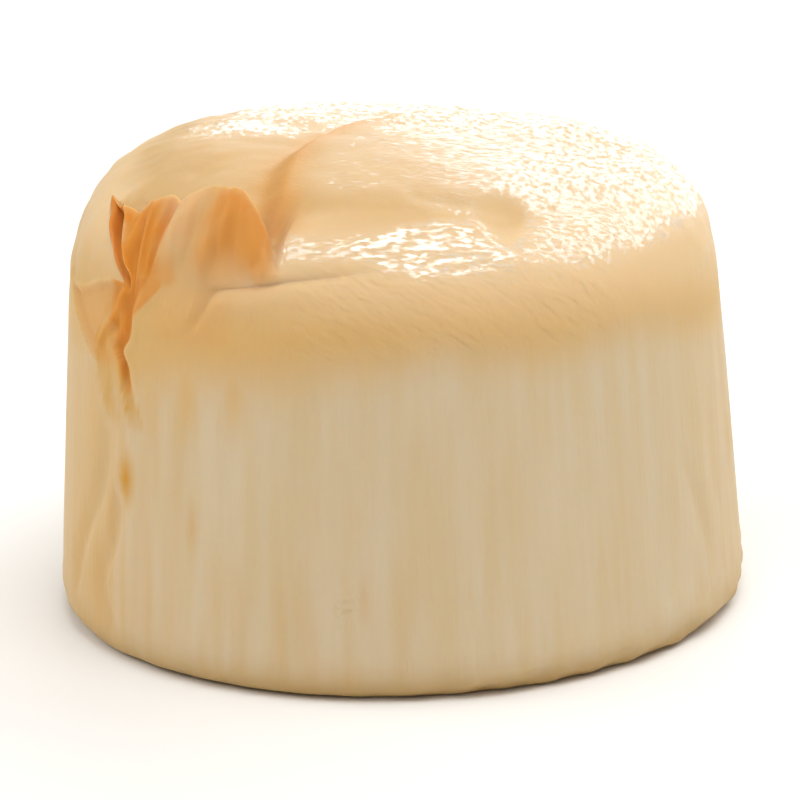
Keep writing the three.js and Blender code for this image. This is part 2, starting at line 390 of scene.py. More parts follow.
def seam_relief(wall, around, height, base_radius):
    """Skin on the right of the seam overlaps the sunk strip on its left."""
    right = seam_side(around, height, base_radius)
    sunk = seam_strip(right, height)
    strands = 0.25 * np.cos(right / (0.45 * MM)) * sunk
    bank = 0.35 * bell(right - 0.5 * MM, 0.8 * MM)
    depth = wall.seam_depth * mix(0.2, 1, ramp(height, 27 * MM, 34 * MM))
    return depth * (bank - sunk + strands) * span(height, 27 * MM, 37 * MM, 5 * MM)


def flap_relief(wall, around, height, base_radius):
    """Shallow hollow between two ridges that meet in a point, to the left of the seam."""
    left = turn(around, deg(-169) + deg(2.6) * (38.3 * MM - height) / MM) * base_radius
    right = turn(around, deg(-144.5) - deg(1) * (40.6 * MM - height) / MM) * base_radius
    hollow = ramp(left, 0, 2 * MM) * (1 - ramp(right, -2 * MM, 0))
    left_ridge = bell(left, 0.9 * MM) * span(height, 32.5 * MM, 38.5 * MM, 1 * MM)
    right_ridge = bell(right, 0.8 * MM) * span(height, 34 * MM, 40.5 * MM, 1 * MM)
    top_edge = flap_top(around)
    top_ridge = 0.7 * bell(height - top_edge, 0.5 * MM) * span(around, deg(-168), deg(-147), deg(3))
    ridges = wall.flap_ridge * np.maximum.reduce([left_ridge, right_ridge, top_ridge])
    return ridges - wall.flap_depth * hollow * span(height, 32.5 * MM, top_edge - 1 * MM, 1.5 * MM)


def flap_top(around):
    """Height of the flap's upper edge, which climbs towards the seam."""
    right = turn(around, deg(-169)) / deg(24)
    return (38.3 + 2.3 * right - 0.5 * np.sin(6 * right)) * MM


def web_fold(around, height):
    """Fold of the web below the ear, leaning left as it runs down: 1 in its valley, below 0 on its ridge."""
    away = turn(around, deg(-122.6) - deg(0.8) * (43.5 * MM - height) / MM)
    fold = bell(away, deg(0.9)) - 0.6 * bell(away + deg(2.4), deg(1.3))
    return fold * span(height, 39.5 * MM, 43 * MM, 2.5 * MM)


def skin_folds(settings, points, around):
    """Height of the larger folds above the plain drum."""
    drum, top, wall = settings.drum, settings.top, settings.wall
    x, y, z = points[..., 0], points[..., 1], points[..., 2]
    upper = ramp(z, 34 * MM, 40 * MM)
    mottled = mix(0.12 * MM, 0.2 * MM, 1 - ramp(x, -20 * MM, -8 * MM)) * grain(points, 2.6 * MM, seed=15)
    broad = 0.3 * MM * grain(points, 7 * MM, seed=11) + mottled
    folds = upper * (lobe_relief(top, x, y) + dimple_relief(top, x, y) + broad)
    folds -= wall.valley_depth * web_fold(around, z)
    folds += wall.pleat_height * bell(turn(around, deg(-165)), deg(4)) * span(z, 41 * MM, 46 * MM, 2.5 * MM)
    folds += wall_relief(wall, points, around, z) + seam_relief(wall, around, z, drum.base_radius)
    folds += flap_relief(wall, around, z, drum.base_radius) + 0.6 * wall.flap_ridge * tail_lobe(around, z)
    crinkles = grain(points, 3.2 * MM, (1, 1, 0.6), seed=5)
    right_foot = mix(0.35, 1, span(around, deg(-75), deg(-10), deg(15)))
    return folds + wall.foot_crinkle * crinkles * right_foot * span(z, 0.6 * MM, 6 * MM, 0.6 * MM)


def skin_grain(settings, points, around):
    """Height of the fine grain: pebbles on the right of the top, wrinkles along its front edge."""
    top = settings.top
    x, y, z = points[..., 0], points[..., 1], points[..., 2]
    radius = np.hypot(x, y)
    front = front_band(around, radius)
    right = ramp(x, -6 * MM, 9 * MM) * (1 - 0.75 * front) * (1 - ramp(radius, 28 * MM, 32 * MM))
    pebbles = grain(points, top.pebble_pitch, (1, 1.8, 1))
    pebbles += 0.5 * grain(points, top.pebble_pitch / 2, seed=7)
    rolled = np.stack([around * 12 * MM, radius, z], -1)
    wrinkles = grain(rolled, top.wrinkle_pitch, seed=3)
    fine = top.pebble_height * pebbles * mix(0.1, 1, right) + top.wrinkle_height * wrinkles * front
    return fine * (1 - 0.9 * dimple_bowl(x, y)) * ramp(z, 41 * MM, 45 * MM)


# Places across the neck: 0 at the fan's left end, 1 at the ear's right end, then the lip beside it
FAN_END = 1
LIP_END = 1.75

# Pocket between the first two pleats, as a place across the fan
SLIT = 0.14

# Lines across the neck, evenly spaced: the root on the skin, the rim, and the stations behind each
ROOT_ANGLES = (-145, -143.2, -138.6, -126.5, -114, -103.4, -92.6, -82)
ROOT_STATIONS = (3.277, 3.272, 3.292, 3.322, 3.352, 3.382, 3.405, 3.42)
RIM_ANGLES = (-163, -146, -134.4, -124.2, -114.6, -104, -91.5, -81)
RIM_GAPS = (0.14, 0.12, 0.09, 0.07, 0.055, 0.055, 0.055, 0.055)
BACK_GAPS = (0.24, 0.18, 0.11, 0.09, 0.13, 0.22, 0.28, 0.32)

# Bumps of the rim: place across, width, height in millimetres
RIM_BUMPS = (
    (0.05, 0.018, 0.4), (0.095, 0.02, -0.4), (0.27, 0.02, 0.3), (0.31, 0.075, 0.85), (0.43, 0.07, 0.8),
    (0.485, 0.022, -0.85), (0.56, 0.05, -0.45), (0.57, 0.025, -0.2), (0.79, 0.02, -0.1),
)

# Pleats of the fan: place across, width, share of the pleats' depth
PLEATS = (
    (0.21, 0.022, 1), (0.3, 0.03, -0.6), (0.38, 0.035, 0.5), (0.475, 0.025, -0.6), (0.56, 0.04, 0.35),
    (0.655, 0.03, -0.25),
)

# Painted shade in the folds of the fan: place across, width, darkness
DARK_FOLDS = ((0.3, 0.02, 0.8), (0.385, 0.012, 0.6), (0.475, 0.018, 0.5))

# Drips of smoke down the wall: angle and width in degrees, darkness, lower end in millimetres
DRIPS = ((-136, 3.4, 0.75, 24), (-127.5, 3, 0.8, 23.5), (-118, 2.8, 0.7, 24.5), (-107.5, 2, 0.4, 27))


def along_neck(values, across):
    """Value at a place across the fan (0 to 1) and the lip that runs on from it."""
    return through(values, across / LIP_END)


class Columns:
    """Where each column of the mesh stands, from the foot through the fan's root and rim back to the top."""

    def __init__(self, drum, neck):
        fine = np.linspace(deg(-240), deg(120), 4097)
        density = 1 + 1.4 * span(fine, deg(-175), deg(-95), deg(12))
        total = np.concatenate([[0], np.cumsum((density[1:] + density[:-1]) / 2)])
        places = np.linspace(0, total[-1], drum.columns, endpoint=False)
        self.foot = np.interp(places, total, fine)
        self.across = LIP_END * (self.foot - neck.foot_left) / (neck.foot_right - neck.foot_left)
        self.root = self.led(neck, np.radians(ROOT_ANGLES))
        self.rim = self.led(neck, np.radians(RIM_ANGLES))
        beside = self.beside(neck)
        self.root_station = mix(along_neck(ROOT_STATIONS, self.across), 3.33, beside)
        self.back_station = self.root_station + mix(along_neck(BACK_GAPS, self.across), 0.42, beside)

    def beside(self, neck):
        """0 for the columns of the neck, rising to 1 to either side."""
        return ramp(np.maximum(neck.foot_left - self.foot, self.foot - neck.foot_right), 0, deg(32))

    def led(self, neck, angles):
        """Columns led through given angles inside the neck, and eased back to their own place beside it."""
        shift = along_neck(angles, self.across) - np.clip(self.foot, neck.foot_left, neck.foot_right)
        return self.foot + shift * (1 - self.beside(neck))

    def present(self, up):
        """1 where the fan or lip is there, fading into the plain skin at both ends."""
        return ramp(self.across, 0, 0.05) * (1 - ramp(self.across, 0.97, 1.12)) + 0 * up


def leaned(across, up):
    """Place across the fan for pleats that lean to the left towards the rim, near the pocket."""
    return across - 0.11 * (0.6 - up) * (1 - ramp(across, 0.2, 0.45)) + 0.008 * np.sin(7 * up + 21 * across)


def fan_rim(neck, across):
    """Height of the fan's rim: low pleats on the left, then the ear, which drops at its right end."""
    drop = 7.4 * MM * ramp(across, 0.82, 1.12) ** 1.3
    bumps = sum(height * bell(across - at, width) for at, width, height in RIM_BUMPS)
    along = np.stack([across * 22 * MM, 0 * across, 0 * across], -1)
    bumps = bumps + 0.5 * grain(along, 1.1 * MM, seed=17)
    return mix(neck.rim_height, neck.ear_height, ramp(across, 0.2, 0.72)) - drop + bumps * MM


def fan_sheet(settings, across, up):
    """Smooth middle surface of the fan, from its root under the skin to its rim."""
    drum, neck = settings.drum, settings.neck
    root_angle = along_neck(np.radians(ROOT_ANGLES), across)
    station = along_neck(ROOT_STATIONS, across)
    root = drum_points(drum, root_angle, station)
    root -= drum_normals(drum, root_angle, station) * neck.root_thickness / 2
    radius = mix(neck.rim_radius_left, neck.rim_radius_right, np.clip(across, 0, FAN_END))
    rim = cylindrical(radius, along_neck(np.radians(RIM_ANGLES), across), fan_rim(neck, across))
    swell = neck.swell * mix(0.5, 1, ramp(across, 0.4, 0.8)) * np.sin(math.pi * up)
    swell += 0.5 * settings.top.lip_swell * ramp(across, 0.75, 1) * np.sin(math.pi * np.clip(up / 0.6, 0, 1))
    return mix(root, rim, up[..., None]) + cylindrical(1, root_angle, 0) * swell[..., None]


def fan_pleats(neck, across, up):
    """How far the pleats stand out of the sheet, and the pocket between the first two sinks into it."""
    lean = leaned(across, up)
    pleats = sum(height * bell(lean - at, width) for at, width, height in PLEATS)
    pocket = neck.slit_depth * bell(lean - SLIT, 0.06) * span(up, 0.2, 0.85, 0.2)
    spread = np.stack([across * 22 * MM, up * 9 * MM, 0 * up], -1)
    crumple = grain(spread, 2 * MM, (1, 2.5, 1), seed=13)
    crumple += 0.35 * grain(spread, 0.9 * MM, (1, 2.5, 1), seed=18)
    crumple *= neck.crumple * np.sin(math.pi * up)
    return neck.pleat_depth * pleats * np.sin(math.pi * (0.1 + 0.6 * up)) + crumple - pocket


def fan_points(settings, columns, turn_over):
    """Front face of the fan up to its rim and its back face down again, for turn_over from 0 to 1."""
    drum, neck = settings.drum, settings.neck
    across, over = np.broadcast_arrays(np.clip(columns.across, 0, LIP_END)[None, :], turn_over)
    up = np.sin(math.pi * over)
    step = 0.03

    def sheet(a, b):
        return fan_sheet(settings, np.clip(a, 0, LIP_END), np.clip(b, 0, 1))

    along = sheet(across + step, up) - sheet(across - step, up)
    upwards = sheet(across, up + step) - sheet(across, up - step)
    normal = unit(np.cross(along, upwards))
    half = mix(neck.root_thickness, neck.rim_thickness, up**0.7) / 2 * np.sqrt(1 - up**10)
    side = np.where(over <= 0.5, 1, -1)
    points = sheet(across, up) + normal * (side * half + fan_pleats(neck, across, up))[..., None]
    front = drum_points(drum, columns.root, columns.root_station)
    back = drum_points(drum, columns.rim, columns.back_station)
    to_front = (front - points[0]) * ((1 - up) ** 3 * (side > 0))[..., None]
    to_back = (back - points[-1]) * ((1 - up) ** 1.5 * (side < 0))[..., None]
    return points + to_front + to_back


def lip_shift(top, columns, over, around, normals):
    """Shift of the skin that makes the lip: a rolled front over the crease, falling away gently behind."""
    here = ramp(columns.across, 0.85, 1.05) * (1 - ramp(columns.across, FAN_END, 1.62))
    front = over < 0.5
    rise = np.where(front, np.sin(math.pi * over) ** 0.7, 1 - ramp(over, 0.5, 0.9))
    roll = np.where(front, np.sin(2 * math.pi * over), 0)
    shift = normals * (top.lip_height * rise)[..., None]
    shift += cylindrical(1, around, 0) * (top.lip_swell * roll)[..., None]
    return shift * here[None, :, None]


def crease_folds(top, columns, station):
    """Groove at the root of the ear's right half and the lip, and the swollen skin below it."""
    here = ramp(columns.across, 0.74, 0.86) * (1 - ramp(columns.across, 1.1, 1.62))
    below = columns.root_station - station
    return here * (top.crest_height * bell(below - 0.04, 0.03) - top.crease_depth * bell(below, 0.01))


def fan_stations(columns, over):
    """Stations of the fan's rows: to the rim's place on the plain skin, then on behind it."""
    gap = along_neck(RIM_GAPS, columns.across)
    front = columns.root_station + gap * 2 * over
    behind = mix(columns.root_station + gap, columns.back_station, 2 * over - 1)
    plain = mix(columns.root_station, columns.back_station, over)
    beside = np.maximum(ramp(columns.across, 1.45, 2.2), 1 - ramp(columns.across, -0.7, -0.05))
    return mix(np.where(over < 0.5, front, behind), plain, beside)


def soften(points, weight, passes):
    """Eases the grid along its columns where weight is above 0."""
    for _ in range(passes):
        between = (np.roll(points, 1, 0) + np.roll(points, -1, 0)) / 2
        points = mix(points, between, weight[..., None])
    return points


def grid_normals(points):
    """Outward directions of the grid."""
    return unit(np.cross(np.roll(points, -1, 1) - np.roll(points, 1, 1), np.gradient(points, axis=0)))


def cheese_grid(settings):
    """Points of the skin in rows from the floor's middle to the top's, with the masks that colour it."""
    drum = settings.drum
    columns = Columns(drum, settings.neck)
    fan_turn = np.linspace(0, 1, drum.fan_rows)[:, None]
    low = np.concatenate([
        np.linspace(0, 1, drum.floor_rows, endpoint=False)[1:],
        np.linspace(1, 2, drum.foot_rows, endpoint=False),
        np.linspace(2, 3, drum.wall_rows, endpoint=False),
    ])[:, None]
    rise = 1 - (1 - np.linspace(0, 1, drum.shoulder_rows, endpoint=False)[:, None]) ** 1.5
    inner = np.linspace(0, 1, drum.top_rows + 1, endpoint=False)[1:, None]
    station = np.concatenate([
        low * np.ones(drum.columns),
        mix(3, columns.root_station, rise),
        fan_stations(columns, fan_turn),
        mix(columns.back_station, 4, inner),
    ])
    fan_start = len(low) + drum.shoulder_rows
    fan_end = fan_start + drum.fan_rows
    climb = np.clip((station[:fan_start] - 2) / (columns.root_station - 2), 0, 1) ** 2
    around = np.concatenate([
        mix(columns.foot, columns.root, climb),
        mix(columns.root, columns.rim, np.clip(2 * fan_turn, 0, 1)),
        mix(columns.rim, columns.foot, ramp(inner, 0, 1)),
    ])
    plain = drum_points(drum, around, station)
    normals = drum_normals(drum, around, station)
    folds = skin_folds(settings, plain, turn(around, 0)) + crease_folds(settings.top, columns, station)
    skin = plain + normals * folds[..., None]
    fan_rows = slice(fan_start, fan_end)
    over = fan_turn * np.ones(drum.columns)
    skin[fan_rows] += lip_shift(settings.top, columns, over, around[fan_rows], normals[fan_rows])
    up = np.zeros((len(station), 1))
    up[fan_rows] = np.sin(math.pi * fan_turn)
    present = columns.present(up)
    skin[fan_rows] = mix(skin[fan_rows], fan_points(settings, columns, fan_turn), present[fan_rows, :, None])
    row = np.arange(len(station))[:, None]
    merging = 1 - 0.95 * ramp(columns.across, 0.74, 0.86)
    weight = 0.5 * present * np.maximum(bell(row - fan_start, 4) * merging, bell(row - fan_end, 2))
    skin = soften(skin, weight, 14)
    web = 0.5 * present * bell(row - fan_start, 9) * span(columns.across, 0.36, 0.7, 0.1)
    skin = soften(skin, web, 60)
    around = np.arctan2(skin[..., 1], skin[..., 0])
    skin += grid_normals(skin) * skin_grain(settings, skin, around)[..., None]
    skin[..., 2] = np.maximum(skin[..., 2], 0)
    return skin, skin_masks(settings, skin, around, columns, station, up, present)


def front_band(around, radius):
    """1 along the front edge of the top, where the skin is finely wrinkled."""
    onwards = ramp(around, deg(-106), deg(-78))
    inner = mix(30 * MM, 27.4 * MM, onwards)
    outer = 32.6 * MM - 1.3 * MM * bell(around + deg(97), deg(10))
    in_band = ramp(radius, inner, inner + 1.6 * MM) * (1 - ramp(radius, outer, outer + 1.2 * MM))
    return span(around, deg(-118), deg(-42), deg(6)) * in_band


def dimple_bowl(x, y):
    """1 in the dimple, where the skin is smooth and dry."""
    return 1 - ramp(dimple_away(x, y), 2 * MM, 4 * MM)


def lobe_front(x, y):
    """1 on the front half of the lobe, where the skin has fine strokes."""
    return span(lobe_side(x, y), 6 * MM, 20 * MM, 4 * MM) * span(y, -22 * MM, 0, 4 * MM)


def wetness(points, around):
    """Share of the skin that a wet film covers: most on the right and along the front edge of the top."""
    x, y = points[..., 0], points[..., 1]
    radius = np.hypot(x, y)
    right = 0.04 + 0.72 * ramp(x + 0.43 * y, -15 * MM, 9 * MM)
    lobe = 0.3 * lobe_front(x, y)
    back = 0.72 * ramp(y, 6 * MM, 13 * MM) * ramp(x, -21 * MM, -15 * MM)
    left = 0.95 * bell(x + 15 * MM, 7 * MM) * bell(y - 6.5 * MM, 5 * MM)
    share_wet = np.maximum.reduce([right, lobe, back, left, 0.66 * front_band(around, radius)])
    return share_wet * (1 - dimple_bowl(x, y)) * (1 - ramp(radius, 32.8 * MM, 34.6 * MM))


def wall_stains(points, around, right):
    """Ochre stains: strands beside the seam, a spot below them, upright streaks, a patch on the left."""
    z = points[..., 2]
    strands = span(right, -2.2 * MM, -0.2 * MM, 0.6 * MM) + 0.8 * span(right, -7 * MM, -4.5 * MM, 1 * MM)
    strands = np.maximum(strands, 0.4 * span(right, -7 * MM, -0.4 * MM, 0.8 * MM))
    strands = strands * span(z, 28 * MM, 34 * MM, 3.5 * MM)
    strands = strands * mix(0.6, 1, grain(points, 2 * MM, (1, 1, 2), seed=4))
    streaky = np.clip(0.6 + grain(points, 1.6 * MM, (1, 1, 12), seed=21), 0, 1.2)
    patch = 0.25 * span(around, deg(-146), deg(-131), deg(7)) * span(z, 6 * MM, 26 * MM, 6 * MM)
    sparse = 0.16 * span(around, deg(-150), deg(-100), deg(20)) * span(z, 2 * MM, 10 * MM, 8 * MM)
    spot = bell(turn(around, deg(-142)), deg(2.3)) * bell(z - 20.4 * MM, 2.7 * MM)
    long_streak = 0.3 * bell(turn(around, deg(-126.3)), deg(1.4)) * bell(z - 17 * MM, 3.2 * MM)
    short_streak = 0.25 * bell(turn(around, deg(-96.2)), deg(0.9)) * bell(z - 11 * MM, 2.6 * MM)
    # Ochre along the valleys of the fold on the far right and of the small upright fold
    grooves = np.maximum(0.1 * right_fold(around, z), 0.2 * edge_fold(around, z))
    stains = [strands, streaky * patch, streaky * sparse, spot, long_streak, short_streak, grooves]
    return np.clip(np.maximum.reduce(stains), 0, 1)


def smoke_and_shade_share(points, around):
    """Smoked skin: down to an uneven edge below the shoulder, in drips, on the stained far left, and as
    painted shade on the sides turned away from the front.
    """
    z = points[..., 2]
    drips = sum(
        dark * bell(turn(around, deg(at)), deg(wide)) * ramp(z, end * MM, (end + 8) * MM)
        for at, wide, dark, end in DRIPS
    )
    edge = 37.2 * MM - 4.5 * MM * bell(turn(around, deg(-150)), deg(22))
    edge += 1.2 * MM * grain(points, 9 * MM, seed=2)
    edge -= 5 * MM * span(around, deg(-12), deg(60), deg(30))
    edge -= 2.5 * MM * span(around, deg(-140), deg(-112), deg(12))
    edge -= 4 * MM * bell(turn(around, deg(-170)), deg(12))
    stained = 0.78 * span(around, deg(-170), deg(-151), deg(14))
    stained = stained * mix(0.9, 1.1, grain(points, 2 * MM, (1, 1, 9), seed=8))
    # Painted shade: a third of the smoked colour on the sides turned away from the front
    shaded_sides = 0.33 * (1 - span(around, deg(-140), deg(-45), deg(35)))
    shares = [ramp(z, edge - 6 * MM, edge + 3 * MM), drips, stained, shaded_sides]
    return np.clip(np.maximum.reduce(shares), 0, 1)


def fan_share(columns, station, up, behind, uneven):
    """Orange of the fan: its pleats with the skin just below them, and the ear, paler along the rim as a
    painted highlight.
    """
    across = columns.across
    below = np.where(up > 0, -up, (columns.root_station - station) / 0.12)
    reach = 1 - ramp(below + 0.15 * ramp(across, 0.12, 0.45) + 0.1 * uneven, 0, 0.5)
    limit = mix(0.43, 0.6, (1 - up) ** 1.2) - 0.7 * np.clip(below, 0, 0.6)
    pleated = ramp(across, 0, 0.03) * (1 - ramp(across - limit + 0.05 * uneven, -0.1, 0.12)) * reach
    ear = mix(0.22, 1, ramp(across - 0.05 * up + 0.05 * uneven, 0.64, 0.8))
    ear = ear * ramp(-below, -0.3, 0.6) * ramp(across, 0.35, 0.5)
    # Painted highlight: the orange fades along the rim
    rim_highlight = 1 - 0.5 * ramp(up, 0.9, 1)
    return np.maximum(pleated, 0.8 * ear) * rim_highlight * np.where(behind, ramp(up, 0.8, 0.97), 1)


def flap_share(around, height):
    """Tint of the flap to the left of the seam."""
    left = turn(around, deg(-169) + deg(2.6) * (38.3 * MM - height) / MM)
    flap = 0.42 * ramp(left, 0, deg(2)) * (1 - ramp(around, deg(-147), deg(-143)))
    flap = flap * ramp(height, 31 * MM, 33 * MM)
    return flap * (1 - ramp(height - flap_top(around), -0.6 * MM, 0.2 * MM))


def flank_shade(x, y, z):
    """Painted shade along the lobe's left flank, which faces away from the lights, given as an orange tint.
    """
    flank = bell(lobe_side(x, y) - 0.2 * MM, 2.6 * MM) * span(y, -26 * MM, 10 * MM, 6 * MM)
    return 0.6 * flank * ramp(z, 43 * MM, 46 * MM)


def deep_shade_share(across, up, behind, tail, right):
    """Painted shade, brown-orange, in the pocket, in the folds beside it and along the seam."""
    lean = leaned(across, up)
    slit = ramp(across, 0.01, 0.04) * (1 - ramp(lean, SLIT + 0.05, SLIT + 0.065))
    slit = slit * span(up, 0.1, 0.95, 0.1) * ~behind
    folds = sum(dark * bell(lean - at, width) for at, width, dark in DARK_FOLDS)
    folds = folds * span(up, 0.25, 0.75, 0.22) * ~behind
    return np.maximum.reduce([slit, folds, 0.85 * tail * bell(right + 1 * MM, 1.6 * MM)])


def pale_and_lit_share(drum, points, across, up, present, behind):
    """Palest skin: a band round the shoulder, which is painted light and sheen, the dimple, and the left of
    the ear.
    """
    x, y, z = points[..., 0], points[..., 1], points[..., 2]
    level = z - drum.lean_right * x - drum.lean_back * y
    inner = mix(26 * MM, 25.4 * MM, ramp(-x, 12 * MM, 24 * MM))
    # Painted light and sheen on the band round the shoulder
    band = ramp(level, 36 * MM, 44 * MM) * ramp(np.hypot(x, y), inner, inner + 5 * MM)
    on_web = present * (1 - ramp(across, 0.72, 0.85)) * ramp(z, 39 * MM, 43 * MM)
    band = band * (1 - present * ramp(up, 0, 0.6)) * (1 - 0.85 * on_web)
    bowl = 0.4 * dimple_bowl(x, y) * ramp(z, 40 * MM, 44 * MM)
    ear_left = 0.5 * present * span(across, 0.47, 0.62, 0.08) * ramp(up, 0.2, 0.5) * ~behind
    return np.maximum.reduce([band, bowl, ear_left])


def skin_masks(settings, points, around, columns, station, up, present):
    """Shares from 0 to 1 of each colour and finish of the skin, by the names that the material reads."""
    x, y, z, across = points[..., 0], points[..., 1], points[..., 2], columns.across
    radius = settings.drum.base_radius
    behind = np.arange(len(points))[:, None] > np.argmax(up)
    on_body = up == 0
    uneven = grain(points, 2.4 * MM, seed=6)
    right = seam_side(around, z, radius) + 0.4 * MM * uneven
    tail = seam_strip(right, z) * span(z, 32 * MM, 46 * MM, 3 * MM) * on_body
    flap = flap_share(around, z)
    below_ear = 0.16 * span(around, deg(-134), deg(-122), deg(5)) * span(z, 37.5 * MM, 41 * MM, 2.5 * MM)
    orange = np.maximum.reduce([tail, 0.75 * tail_lobe(around, z), flap, below_ear]) * on_body
    fan = fan_share(columns, station, up, behind, uneven) * present
    # Gathered orange, with painted shade along the lobe's flank
    gathered = np.maximum.reduce([fan, orange, flank_shade(x, y, z)])
    glint = bell(leaned(across, up) - SLIT - 0.075, 0.014) * span(up, 0.62, 0.8, 0.06) * ~behind
    gathered = gathered * (1 - 0.7 * glint)
    moist = ramp(z, 38 * MM, 45 * MM) * (1 - 0.8 * gathered)
    strokes = np.maximum(front_band(around, np.hypot(x, y)), 0.8 * lobe_front(x, y))
    slanted = span(z, 37.5 * MM, 43.5 * MM, 2.5 * MM) * span(around, deg(-102), deg(-55), deg(12))
    return {
        # Smoked skin, with painted shade on the sides turned away from the front
        "smoke": smoke_and_shade_share(points, around),
        "stain": wall_stains(points, around, right),
        "gathered": np.clip(gathered, 0, 1),
        # Painted shade in the pocket, the fan's folds and along the seam
        "deep": deep_shade_share(across, up, behind, tail, right),
        # Paler skin, with painted light and sheen round the shoulder
        "pale": np.maximum(pale_and_lit_share(settings.drum, points, across, up, present, behind), 0.4 * flap),
        # Browner skin and painted shade, darker towards the floor
        "foot": (1 - ramp(z, 0, 6.5 * MM)) ** 2,
        "moist": moist,
        "wet": moist * wetness(points, around) * (1 - present * ramp(up, 0, 0.6)),
        "edge": moist * strokes,
        "blemish": bell(turn(around, deg(-99)) * radius, 1.7 * MM) * bell(z - 10.4 * MM, 2 * MM),
        "oblique": 0.6 * slanted,
    }


def grid_mesh(name, points, masks, bottom, top):
    """Closed mesh of rings of points between a bottom and a top point, with masks as point attributes."""
    rows, columns = points.shape[:2]
    index = np.arange(rows * columns).reshape(rows, columns)
    after = np.roll(index, -1, axis=1)
    quads = np.stack([index[:-1], after[:-1], after[1:], index[1:]], -1).reshape(-1, 4)
    low, high = rows * columns, rows * columns + 1
    floor_fan = np.stack([np.full(columns, low), after[0], index[0]], -1)
    top_fan = np.stack([np.full(columns, high), index[-1], after[-1]], -1)
    places = np.concatenate([points.reshape(-1, 3), [bottom, top]])
    mesh = bpy.data.meshes.new(name)
    mesh.from_pydata(places.tolist(), [], quads.tolist() + floor_fan.tolist() + top_fan.tolist())
    for mask, values in masks.items():
        attribute = mesh.attributes.new(mask, "FLOAT", "POINT")
        whole = np.concatenate([values.ravel(), values[0, :1], values[-1, :1]])
        attribute.data.foreach_set("value", whole.astype(np.float32))
    mesh.polygons.foreach_set("use_smooth", np.ones(len(mesh.polygons), bool))
    if mesh.validate():
        raise RuntimeError(f"The mesh of {name} has faulty faces")
    mesh.update()
    return mesh


class NodeSheet:
    """Short calls for placing and joining shader nodes."""

    def __init__(self, tree):
        self.tree = tree

    def add(self, kind, inputs=None, **settings):
        node = self.tree.nodes.new(kind)
        for key, value in settings.items():
            setattr(node, key, value)
        for key, value in (inputs or {}).items():
            self.feed(node.inputs[key], value)
        return node

    def feed(self, socket, value):
        if isinstance(value, bpy.types.NodeSocket):
            self.tree.links.new(value, socket)
        elif socket.type == "RGBA" and len(value) == 3:
            socket.default_value = (*value, 1)
        else:
            socket.default_value = value

    def mask(self, name):
        return self.add("ShaderNodeAttribute", attribute_name=name).outputs["Fac"]

    def math(self, operation, *values, clamp=False):
        node = self.add("ShaderNodeMath", operation=operation, use_clamp=clamp)
        for socket, value in zip(node.inputs, values):
            self.feed(socket, value)
        return node.outputs[0]

    def blend(self, part, first, second, kind="Color"):
        """Goes from the first to the second colour, or value, with a part from 0 to 1."""
        node = self.add("ShaderNodeMix", data_type={"Color": "RGBA", "Float": "FLOAT"}[kind])
        for key, value in (("Factor_Float", part), (f"A_{kind}", first), (f"B_{kind}", second)):
            self.feed(next(s for s in node.inputs if s.identifier == key), value)
        return next(s for s in node.outputs if s.identifier == f"Result_{kind}")

    def between(self, part, low, high, start=0.0, end=1.0):
        """Value that goes from low to high while a part goes from its start to its end."""
        ends = {"From Min": start, "From Max": end, "To Min": low, "To Max": high}
        return self.add("ShaderNodeMapRange", {"Value": part, **ends}).outputs["Result"]

    def noise(self, place, pitch, stretch=(1, 1, 1), turned=(0, 0, 0), detail=2.0, low=0.35, high=0.65):
        """Noise of a given pitch in metres, spread from 0 to 1 between two of its levels."""
        scale = [pitch * s for s in stretch]
        inputs = {"Vector": place, "Rotation": turned, "Scale": scale}
        moved = self.add("ShaderNodeMapping", inputs, vector_type="TEXTURE")
        made = self.add("ShaderNodeTexNoise", {"Vector": moved.outputs[0], "Scale": 1.0, "Detail": detail})
        return self.between(made.outputs["Fac"], 0, 1, low, high)


